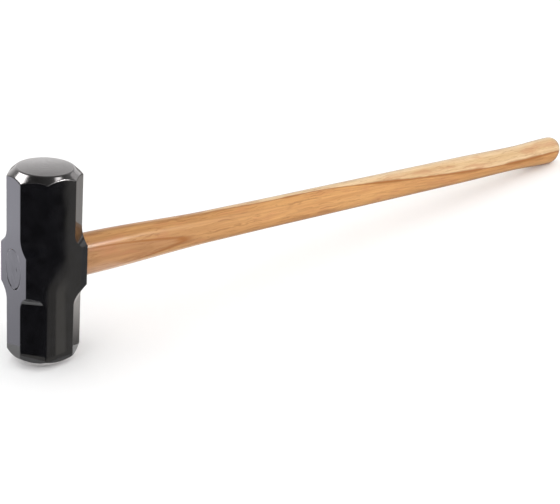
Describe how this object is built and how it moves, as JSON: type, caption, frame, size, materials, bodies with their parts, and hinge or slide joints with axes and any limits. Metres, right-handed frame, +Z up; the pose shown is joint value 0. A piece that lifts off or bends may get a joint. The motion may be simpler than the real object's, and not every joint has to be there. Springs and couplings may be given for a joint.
{
  "type": "sledgehammer",
  "caption": "Double-face sledgehammer with a forged octagonal steel head wedged on a long oval hardwood handle, for driving stakes, wedges and hot work.",
  "frame": {"origin": "centre of the head's flat eye end, on the handle's axis, flush with the wedged end of the handle", "axes": "+X along the handle from the head to the butt, +Y across the cheeks, +Z up along the line through both striking faces"},
  "size_m": [0.914, 0.0662, 0.2164],
  "materials": {
    "lacquered_steel": "gloss black lacquer over forged steel, with the striking faces and their bevels ground bare",
    "hickory": "clear gloss varnish over straight-grained hickory",
    "wedge_wood": "hardwood, its end sealed with the head's black lacquer",
    "wedge_steel": "mild steel, its end sealed with the head's black lacquer"
  },
  "bodies": {
    "root": {"head": "lacquered_steel", "handle": "hickory", "wood_wedge": "wedge_wood", "steel_wedge_upper": "wedge_steel", "steel_wedge_lower": "wedge_steel"}
  },
  "joints": []
}
